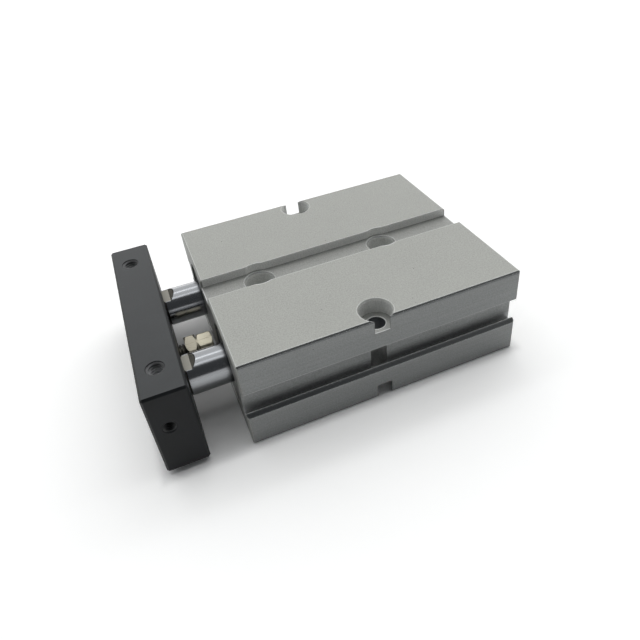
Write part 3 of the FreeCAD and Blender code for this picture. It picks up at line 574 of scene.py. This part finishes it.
# Hard chrome: a mirror with the faintest lines round the rod, from grinding; the flats are
# matt steel with cutter marks across them.
hard_chrome, tree = blank("hard_chromed_steel")
coords = add(tree, "TexCoord", {})
x, y, z = add(tree, "SeparateXYZ", {"Vector": coords.outputs["Object"]}).outputs
ground = add(tree, "TexNoise", {
    "W": x, "Scale": 1 / GRINDING_LINE, "Detail": 3.0}, noise_dimensions="1D")
milled = add(tree, "TexNoise", {
    "W": x, "Scale": 1 / CUTTER_MARK, "Detail": 3.0}, noise_dimensions="1D")
sunk = add(tree, "Math", {
    0: bore_radius(tree, y, z), 1: rod_radius - FLAT_SINK}, operation="LESS_THAN")
near_plate = add(tree, "Math", {0: x, 1: rod_low.x + FLAT_END}, operation="LESS_THAN")
on_flat = add(tree, "Math", {0: sunk, 1: near_plate}, operation="MULTIPLY")
chrome = add(tree, "Mix", {
    "Factor": ground, "A": linear(CHROME_DARK), "B": linear(CHROME_PALE)}, data_type="RGBA")
steel = add(tree, "Mix", {
    "Factor": milled, "A": linear(FLAT_DARK), "B": linear(FLAT_PALE)}, data_type="RGBA")
tone = add(tree, "Mix", {"Factor": on_flat, "A": chrome, "B": steel}, data_type="RGBA")
lustre = add(tree, "MapRange", {"Value": on_flat, "To Min": 1.0, "To Max": FLAT_LUSTRE})
gloss = add(tree, "MapRange", {"Value": on_flat, "To Min": CHROME_ROUGHNESS, "To Max": FLAT_ROUGHNESS})
lines = add(tree, "Bump", {
    "Height": ground, "Strength": GRINDING_RELIEF, "Distance": GRINDING_DEPTH})
shader = add(tree, "BsdfPrincipled", {
    "Base Color": tone, "Metallic": lustre, "Roughness": gloss, "Normal": lines})
add(tree, "OutputMaterial", {"Surface": shader})
dress(hard_chrome, *pair("piston_rod"))


# Piston nuts
# Zinc plated steel, sunk in the back of each piston to hold it on its rod. Each is turned from
# bar, and screwed on tight.
ZINC_GREY = "#9a9d9f"
ZINC_SILVER = "#c0c3c5"
# Zinc: a soft, bluish silver over faint turning rings.
zinc_steel = turned(
    "zinc_plated_steel", ZINC_GREY, ZINC_SILVER, metallic=1.0, roughness=0.35, feed=LATHE_FEED)
dress(zinc_steel, *pair("piston_nut"))


# Front plate
# A milled aluminium bar, black anodised, that joins both rods. It has M4 threads on top and in
# its face for tooling, and an M3 thread in each end.
PLATE_BLACK = "#0f1112"
PLATE_GREY = "#1a1c1f"
PLATE_DUST_AND_SHEEN = "#454748"
PLATE_WORN = "#6c6e6f"
PLATE_GRAIN = 0.2 * MM
PLATE_CLOUD = 8 * MM
MOTTLE_LOW = 0.1
MOTTLE_HIGH = 0.4
DUST_AND_SHEEN_TILT = 0.75
DUST_AND_SHEEN_LEVEL = 0.98
DUST_AND_SHEEN_THINNEST = 0.8
SCRATCH_LENGTH = 9 * MM
SCRATCH_SPACING = 1.1 * MM
SCRATCH_TURN = radians(62)
SCRATCH_START = 0.71
SCRATCH_FULL = 0.76
SCRATCH_WEAR = 0.5
PLATE_SMOOTHEST = 0.36
PLATE_ROUGHEST = 0.5
PLATE_SPECULAR = 0.2
PLATE_EDGE_RADIUS = 0.12 * MM
PLATE_RELIEF = 0.2
PLATE_RELIEF_DEPTH = 0.03 * MM
# Black anodised aluminium: finely matt black with a soft grey sheen and a few hair scratches;
# faces that look up are drawn a cloudy charcoal grey, a film of dust with a painted sheen.
black_anodised, tree = blank("black_anodised_aluminium")
coords = add(tree, "TexCoord", {})
place = coords.outputs["Object"]
_, _, facing_z = add(tree, "SeparateXYZ", {"Vector": coords.outputs["Normal"]}).outputs
grain = add(tree, "TexNoise", {"Vector": place, "Scale": 1 / PLATE_GRAIN, "Detail": 3.0})
cloud = add(tree, "TexNoise", {"Vector": place, "Scale": 1 / PLATE_CLOUD, "Detail": 3.0})
mottle = add(tree, "Math", {0: grain, 1: cloud}, operation="MULTIPLY")
greyness = add(tree, "MapRange", {"Value": mottle, "From Min": MOTTLE_LOW, "From Max": MOTTLE_HIGH})
black = add(tree, "Mix", {
    "Factor": greyness, "A": linear(PLATE_BLACK), "B": linear(PLATE_GREY)}, data_type="RGBA")
# Dust and painted sheen on faces that look up.
facing_up = add(tree, "MapRange", {"Value": facing_z, "From Min": DUST_AND_SHEEN_TILT, "From Max": DUST_AND_SHEEN_LEVEL})
haze = add(tree, "MapRange", {
    "Value": mottle, "From Min": MOTTLE_LOW, "From Max": MOTTLE_HIGH, "To Min": DUST_AND_SHEEN_THINNEST})
dust_and_sheen = add(tree, "Math", {0: facing_up, 1: haze}, operation="MULTIPLY")
dust_and_sheen_toned = add(tree, "Mix", {"Factor": dust_and_sheen, "A": black, "B": linear(PLATE_DUST_AND_SHEEN)}, data_type="RGBA")
stretch = add(tree, "Mapping", {
    "Vector": place, "Rotation": (0.0, 0.0, SCRATCH_TURN),
    "Scale": (1 / SCRATCH_LENGTH, 1 / SCRATCH_SPACING, 1 / SCRATCH_SPACING)})
scratch_field = add(tree, "TexNoise", {
    "Vector": stretch, "Scale": 1.0, "Detail": 6.0, "Roughness": 0.7})
scratch = add(tree, "MapRange", {
    "Value": scratch_field, "From Min": SCRATCH_START, "From Max": SCRATCH_FULL, "To Max": SCRATCH_WEAR})
scratched_and_highlit = add(tree, "Mix", {"Factor": scratch, "A": dust_and_sheen_toned, "B": linear(PLATE_WORN)}, data_type="RGBA")
matt = add(tree, "MapRange", {"Value": cloud, "To Min": PLATE_SMOOTHEST, "To Max": PLATE_ROUGHEST})
rounded = add(tree, "Bevel", {"Radius": PLATE_EDGE_RADIUS}, samples=4)
bumps = add(tree, "Bump", {
    "Height": grain, "Strength": PLATE_RELIEF, "Distance": PLATE_RELIEF_DEPTH, "Normal": rounded})
shader = add(tree, "BsdfPrincipled", {
    "Base Color": scratched_and_highlit, "Roughness": matt, "Specular IOR Level": PLATE_SPECULAR, "Normal": bumps})
add(tree, "OutputMaterial", {"Surface": shader})
dress(black_anodised, "front_plate")

# The threads in the plate, tapped before anodising: black, with painted light in the upper holes,
# which grow paler below the mouth where they would be in shade.
TOP_THREAD = 4.0 * MM
TOP_PITCH = 0.7 * MM
TOP_DEPTH = 8.0 * MM
END_THREAD = 3.0 * MM
END_PITCH = 0.5 * MM
END_DEPTH = 6.0 * MM
THREAD_PAINTED_LIGHT_DARK = "#b4b5b6"
THREAD_PAINTED_LIGHT_PALE = "#d8d9da"
THREAD_BLACK = "#242526"
THREAD_GREY = "#38393a"
LIGHT_START_DEPTH = 0.7 * MM
LIGHT_FULL_DEPTH = 2.2 * MM
MOUTH_LIGHT_SHARE = 0.12
plate_low, plate_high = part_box("front_plate")
dark_thread, tree = blank("cut_thread_in_black_aluminium")
coords = add(tree, "TexCoord", {})
_, _, z = add(tree, "SeparateXYZ", {"Vector": coords.outputs["Object"]}).outputs
marks = add(tree, "TexNoise", {
    "Vector": coords.outputs["Object"], "Scale": 1 / TOOL_MARK, "Detail": 3.0})
painted_light_tone = add(tree, "Mix", {
    "Factor": marks, "A": linear(THREAD_PAINTED_LIGHT_DARK), "B": linear(THREAD_PAINTED_LIGHT_PALE)}, data_type="RGBA")
skin = add(tree, "Mix", {
    "Factor": marks, "A": linear(THREAD_BLACK), "B": linear(THREAD_GREY)}, data_type="RGBA")
depth = add(tree, "Math", {0: plate_high.z, 1: z}, operation="SUBTRACT")
# Painted light, paler deeper down in the upper holes.
below_mouth = add(tree, "MapRange", {
    "Value": depth, "From Min": LIGHT_START_DEPTH, "From Max": LIGHT_FULL_DEPTH, "To Min": MOUTH_LIGHT_SHARE})
in_top = add(tree, "Math", {0: depth, 1: TOP_DEPTH}, operation="LESS_THAN")
painted_light_share = add(tree, "Math", {0: below_mouth, 1: in_top}, operation="MULTIPLY")
tone = add(tree, "Mix", {"Factor": painted_light_share, "A": skin, "B": painted_light_tone}, data_type="RGBA")
shader = add(tree, "BsdfPrincipled", {
    "Base Color": tone, "Metallic": 0.3, "Roughness": 0.4})
add(tree, "OutputMaterial", {"Surface": shader})
top_x, _, _ = mounts["plate_top_threads"]["pos_m"]
top_y = mounts["plate_top_threads"]["dims"]["spacing_y_mm"] / 2 * MM
face_y = mounts["plate_face_threads"]["dims"]["spacing_x_mm"] / 2 * MM
end_x, _, end_z = mounts["plate_end_thread_left"]["pos_m"]
for hand, sign, end_y in (("left", 1, plate_high.y), ("right", -1, plate_low.y)):
    cut_thread(f"plate_top_thread_{hand}", 2, (top_x, sign * top_y, plate_high.z), -1,
               TOP_THREAD, TOP_PITCH, TOP_DEPTH, dark_thread, "rod_carriage")
    cut_thread(f"plate_face_thread_{hand}", 0, (plate_low.x, sign * face_y, bore_z), 1,
               TOP_THREAD, TOP_PITCH, TOP_DEPTH, dark_thread, "rod_carriage")
    cut_thread(f"plate_end_thread_{hand}", 1, (end_x, end_y, end_z), -sign,
               END_THREAD, END_PITCH, END_DEPTH, dark_thread, "rod_carriage")


# Plate screws
# Black oxide socket head screws, sunk in the plate's face. One goes into the end of each rod and
# pulls the plate against it.
OXIDE_BLACK = "#18191a"
OXIDE_GREY = "#2c2d2e"
# Black oxide: a deep, slightly oily black with turning rings on the head.
black_oxide = turned(
    "black_oxide_steel", OXIDE_BLACK, OXIDE_GREY, metallic=1.0, roughness=0.38, feed=LATHE_FEED)
dress(black_oxide, *pair("plate_screw"))


# Stop bolt and lock nut
# A hexagon bolt turned from steel bar and yellow zinc plated, screwed through the plate, low
# between the rods. Its head meets the block to end the return stroke, and the nut locks it.
BOLT_THREAD = 5.0 * MM
BOLT_PITCH = 0.8 * MM
BOLT_TIP = 0.5 * MM
OUTER_THREAD_HEIGHT = 0.6
HEAD_FLATS = 7.0 * MM
HEAD_LENGTH = 3.8 * MM
HEAD_TURN = radians(15)
HEAD_SEAT = 3.48 * MM
HEAD_CONE = 0.7
COLLAR_RADIUS = 3.2 * MM
COLLAR_LENGTH = 0.3 * MM
NUT_FLATS = 8.0 * MM
NUT_TURN = radians(22)
NUT_SEAT = 3.95 * MM
NUT_CONE = 1.0
NUT_MOUTH = 2.75 * MM
HEX_CORNER = 0.08 * MM
STOP_TURN_STEPS = 144
bolt_low, bolt_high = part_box("stop_bolt")
bolt_axis = (bolt_low + bolt_high) / 2
head_start = bolt_high.x - HEAD_LENGTH
collar_start = head_start - COLLAR_LENGTH
crest = BOLT_THREAD / 2

# Yellow zinc plating: a pale straw gold, half matt, with fine marks from the bar's turning and
# slanting scratches where a spanner slipped; the nut is duller, and painted shade darkens the
# thread.
YELLOW_DARK = "#aaa593"
YELLOW_PALE = "#cac5b3"
YELLOW_SCRATCHED = "#7d7664"
YELLOW_DULL = "#7e7a73"
BOLT_THREAD_PAINTED_SHADE = "#6f6d65"
NUT_DULLING = 0.3
BAR_MARK = 0.16 * MM
BAR_RELIEF = 0.25
BAR_RELIEF_DEPTH = 0.03 * MM
SLIP_LENGTH = 3 * MM
SLIP_SPACING = 0.3 * MM
SLIP_TURN = (0.0, radians(12), radians(24))
SLIP_START = 0.56
SLIP_FULL = 0.64
SLIP_WEAR = 0.6
yellow_zinc, tree = blank("yellow_zinc_plated_steel")
coords = add(tree, "TexCoord", {})
place = coords.outputs["Object"]
marks = add(tree, "TexNoise", {"Vector": place, "Scale": 1 / BAR_MARK, "Detail": 4.0})
plating = add(tree, "Mix", {
    "Factor": marks, "A": linear(YELLOW_DARK), "B": linear(YELLOW_PALE)}, data_type="RGBA")
slant = add(tree, "Mapping", {
    "Vector": place, "Rotation": SLIP_TURN,
    "Scale": (1 / SLIP_LENGTH, 1 / SLIP_SPACING, 1 / SLIP_SPACING)})
slips = add(tree, "TexNoise", {"Vector": slant, "Scale": 1.0, "Detail": 5.0})
scratch = add(tree, "MapRange", {
    "Value": slips, "From Min": SLIP_START, "From Max": SLIP_FULL, "To Max": SLIP_WEAR})
slipped = add(tree, "Mix", {
    "Factor": scratch, "A": plating, "B": linear(YELLOW_SCRATCHED)}, data_type="RGBA")
from_axis = add(tree, "VectorMath", {0: place, 1: bolt_axis}, operation="SUBTRACT")
across = add(tree, "VectorMath", {0: from_axis, 1: (0, 1, 1)}, operation="MULTIPLY")
radius = add(tree, "VectorMath", {0: across}, operation="LENGTH")
slim = add(tree, "Math", {0: radius, 1: crest + THREAD_GAP / 2}, operation="LESS_THAN")
x, _, _ = add(tree, "SeparateXYZ", {"Vector": place}).outputs
behind_head = add(tree, "Math", {0: x, 1: collar_start}, operation="LESS_THAN")
threaded = add(tree, "Math", {0: slim, 1: behind_head}, operation="MULTIPLY")
dullness = add(tree, "Math", {0: behind_head, 1: NUT_DULLING}, operation="MULTIPLY")
dulled = add(tree, "Mix", {
    "Factor": dullness, "A": slipped, "B": linear(YELLOW_DULL)}, data_type="RGBA")
# Painted shade on the threaded shank.
thread_shaded = add(tree, "Mix", {
    "Factor": threaded, "A": dulled, "B": linear(BOLT_THREAD_PAINTED_SHADE)}, data_type="RGBA")
scored = add(tree, "Bump", {"Height": marks, "Strength": BAR_RELIEF, "Distance": BAR_RELIEF_DEPTH})
shader = add(tree, "BsdfPrincipled", {
    "Base Color": thread_shaded, "Metallic": 0.9, "Roughness": 0.4, "Normal": scored})
add(tree, "OutputMaterial", {"Surface": shader})

turn = np.linspace(0, 2 * pi, STOP_TURN_STEPS, endpoint=False)[None, :]
even = np.ones_like(turn)


def hexagon_bar(centre, flats, seat, cone, twist, start, end):
    """Rows of points along a piece of hexagon bar whose ends are turned to cones. The bar's radius
    is half its width over flats / the cosine of the angle from the nearest flat's middle, with
    blunt corners; each cone starts at a round seat, and cone is its depth for each unit of width."""
    from_flat = (turn - twist) % (pi / 3) - pi / 6
    radius = np.minimum(flats / 2 / np.cos(from_flat), flats / np.sqrt(3) - HEX_CORNER)
    depth = cone * (radius - seat)
    return np.concatenate([
        around(0, centre, start * even, seat * even, turn),
        around(0, centre, start + depth, radius, turn),
        around(0, centre, end - depth, radius, turn),
        around(0, centre, end * even, seat * even, turn),
    ])


# The bolt is one row after another: its threaded shank with a coned tip, a collar, and the head.
thread_steps = int((collar_start - bolt_low.x) / BOLT_PITCH * STEPS_PER_PITCH)
thread_x = np.linspace(bolt_low.x, collar_start, thread_steps)[:, None]
ridge = thread_form(thread_x / BOLT_PITCH - turn / (2 * pi), NARROW_FLAT, WIDE_FLAT)
shank = crest - OUTER_THREAD_HEIGHT * BOLT_PITCH * (1 - ridge)
shank = np.minimum(shank, crest - BOLT_TIP + thread_x - bolt_low.x)
bolt_rows = np.concatenate([
    around(0, bolt_axis, thread_x, shank, turn),
    around(0, bolt_axis, np.array([[collar_start], [head_start]]), COLLAR_RADIUS * even, turn),
    hexagon_bar(bolt_axis, HEAD_FLATS, HEAD_SEAT, HEAD_CONE, HEAD_TURN, head_start, bolt_high.x),
])
stop_bolt = solid("threaded_stop_bolt", bolt_rows, False, yellow_zinc, "stop_bolt_set")
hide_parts("stop_bolt")

# The nut is a ring: the bar outside, and inside a plain hole with a coned mouth at each end.
nut_low, nut_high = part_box("lock_nut")
hole = crest + THREAD_GAP
mouth_depth = NUT_MOUTH - hole
nut_rows = np.concatenate([
    hexagon_bar(bolt_axis, NUT_FLATS, NUT_SEAT, NUT_CONE, NUT_TURN, nut_low.x, nut_high.x),
    around(0, bolt_axis, nut_high.x * even, NUT_MOUTH * even, turn),
    around(0, bolt_axis, (nut_high.x - mouth_depth) * even, hole * even, turn),
    around(0, bolt_axis, (nut_low.x + mouth_depth) * even, hole * even, turn),
    around(0, bolt_axis, nut_low.x * even, NUT_MOUTH * even, turn),
])
lock_nut = solid("bevelled_lock_nut", nut_rows, True, yellow_zinc, "stop_bolt_set")
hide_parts("lock_nut")


# Studio
# A matt white board as the floor, one very wide soft lamp above and behind the cylinder, and a
# dim dome with two long strip lights, darkest above the camera, for the metal to reflect.
FLOOR_COLOUR = "#fcfcfb"
FLOOR_ROUGHNESS = 0.9
FLOOR_HALF = 6.0
FLOOR_DROP = 0.02 * MM
FLOOR_GLOW = 0.24
FLOOR_SHADE = 3 * MM


def seen(tree):
    """Two values: 1 for rays that come straight from the eye, and 1 for rays that come from it by
    way of a mirror or a clear piece; both are 0 for light on the object."""
    ray = add(tree, "LightPath", {})
    mirrored = add(tree, "Math", {
        0: ray.outputs["Is Glossy Ray"], 1: ray.outputs["Is Transmission Ray"]}, operation="MAXIMUM")
    return ray.outputs["Is Camera Ray"], mirrored


# White board: matt and even. It is taken to white for the eye and for reflections only, and not
# under the cylinder, where it keeps the shade.
white_board, tree = blank("matt_white_board")
straight, mirrored = seen(tree)
to_eye = add(tree, "Math", {0: straight, 1: mirrored}, operation="MAXIMUM")
foot_middle = (cad_box[0] + cad_box[1]) / 2
foot_half = (cad_box[1] - cad_box[0]) / 2
coords = add(tree, "TexCoord", {})
from_foot = add(tree, "VectorMath", {0: coords.outputs["Object"], 1: foot_middle}, operation="SUBTRACT")
off_foot = add(tree, "VectorMath", {0: from_foot}, operation="ABSOLUTE")
past_foot = add(tree, "VectorMath", {0: off_foot, 1: foot_half}, operation="SUBTRACT")
past_x, past_y, _ = add(tree, "SeparateXYZ", {"Vector": past_foot}).outputs
beside = add(tree, "Math", {0: past_x, 1: past_y}, operation="MAXIMUM")
open_floor = add(tree, "MapRange", {
    "Value": beside, "From Max": FLOOR_SHADE, "To Max": FLOOR_GLOW}, interpolation_type="SMOOTHSTEP")
glow = add(tree, "Math", {0: to_eye, 1: open_floor}, operation="MULTIPLY")
shader = add(tree, "BsdfPrincipled", {
    "Base Color": linear(FLOOR_COLOUR), "Roughness": FLOOR_ROUGHNESS,
    "Emission Color": linear(FLOOR_COLOUR), "Emission Strength": glow})
add(tree, "OutputMaterial", {"Surface": shader})
floor_corners = np.array([(-1, -1, 0), (1, -1, 0), (1, 1, 0), (-1, 1, 0)]) * FLOOR_HALF
floor_corners[:, 2] = cad_box[0].z - FLOOR_DROP
floor_mesh = bpy.data.meshes.new("floor")
floor_mesh.from_pydata(floor_corners, [], [(0, 1, 2, 3)])
floor_mesh.materials.append(white_board)
floor = bpy.data.objects.new("floor", floor_mesh)
bpy.context.scene.collection.objects.link(floor)

# The lamp, over a hundred degrees wide, so that shadows fade out softly.
LAMP_LEVEL = 1.88
LAMP_WIDTH = radians(105)
LAMP_TILT = (radians(-37), radians(10), 0)
lamp = bpy.data.lights.new("soft_lamp", "SUN")
lamp.energy = LAMP_LEVEL
lamp.angle = LAMP_WIDTH
lamp_object = bpy.data.objects.new("soft_lamp", lamp)
lamp_object.rotation_euler = LAMP_TILT
bpy.context.scene.collection.objects.link(lamp_object)

# The dome, with a white horizon for the eye and for reflections only. Each strip light has its
# lean and half its width, both as shares of the height that it hangs at.
DOME_PALE = "#9a9b9c"
DOME_DARK = "#56585a"
DARK_SIDE = (-0.45, -0.75, 0.48)
DARK_START = 0.2
DARK_FULL = 0.8
STRIP_LIGHTS = ((0.54, 0.1), (-0.1, 0.06))
STRIP_LIGHT_GLOW = 5.0
BACKDROP_COLOUR = "#ffffff"
HORIZON_TOP = 0.28
HORIZON_FADE = 0.06
world = bpy.data.worlds.new("dome")
world.use_nodes = True
tree = world.node_tree
tree.nodes.clear()
coords = add(tree, "TexCoord", {})
way = coords.outputs["Generated"]
_, way_y, way_z = add(tree, "SeparateXYZ", {"Vector": way}).outputs
towards = add(tree, "VectorMath", {0: way, 1: DARK_SIDE}, operation="DOT_PRODUCT")
shade = add(tree, "MapRange", {"Value": towards, "From Min": DARK_START, "From Max": DARK_FULL})
tone = add(tree, "Mix", {
    "Factor": shade, "A": linear(DOME_PALE), "B": linear(DOME_DARK)}, data_type="RGBA")
lean = add(tree, "Math", {0: way_y, 1: way_z}, operation="DIVIDE")
overhead = add(tree, "Math", {0: way_z, 1: HORIZON_TOP}, operation="GREATER_THAN")
strength = 1.0
for strip_lean, half_width in STRIP_LIGHTS:
    strip = add(tree, "Math", {0: lean, 1: strip_lean, 2: half_width}, operation="COMPARE")
    lit = add(tree, "Math", {0: strip, 1: overhead}, operation="MULTIPLY")
    strength = add(tree, "Math", {0: lit, 1: STRIP_LIGHT_GLOW, 2: strength}, operation="MULTIPLY_ADD")
low = add(tree, "MapRange", {
    "Value": way_z, "From Min": HORIZON_TOP, "From Max": HORIZON_TOP - HORIZON_FADE})
straight, mirrored = seen(tree)
horizon = add(tree, "Math", {0: low, 1: mirrored}, operation="MULTIPLY")
whitened = add(tree, "Math", {0: horizon, 1: straight}, operation="MAXIMUM")
backdrop = add(tree, "Mix", {
    "Factor": whitened, "A": tone, "B": linear(BACKDROP_COLOUR)}, data_type="RGBA")
plain = add(tree, "Mix", {"Factor": whitened, "A": strength, "B": 1.0}, data_type="FLOAT")
dome = add(tree, "Background", {"Color": backdrop, "Strength": plain})
add(tree, "OutputWorld", {"Surface": dome})
bpy.context.scene.world = world

# Camera at the photograph's place: a moderately wide lens, close in and turned a little about its
# axis, with the shift that the photograph's framing needs.
CAMERA_PLACE = (-33.67 * MM, -121.7 * MM, 109.79 * MM)
CAMERA_TURN = (radians(53.43), radians(4.83), radians(-22.59))
SENSOR_WIDTH_MM = 36
FOCAL_LENGTH_MM = 32.58
SHIFT_ACROSS = -0.0194
SHIFT_UP = -0.0587
NEAREST_SEEN = 5 * MM
lens = bpy.data.cameras.new("camera")
lens.sensor_width = SENSOR_WIDTH_MM
lens.lens = FOCAL_LENGTH_MM
lens.shift_x = SHIFT_ACROSS
lens.shift_y = SHIFT_UP
lens.clip_start = NEAREST_SEEN
camera = bpy.data.objects.new("camera", lens)
camera.location = CAMERA_PLACE
camera.rotation_euler = CAMERA_TURN
bpy.context.scene.collection.objects.link(camera)
bpy.context.scene.camera = camera
bpy.context.scene.view_settings.view_transform = "Standard"
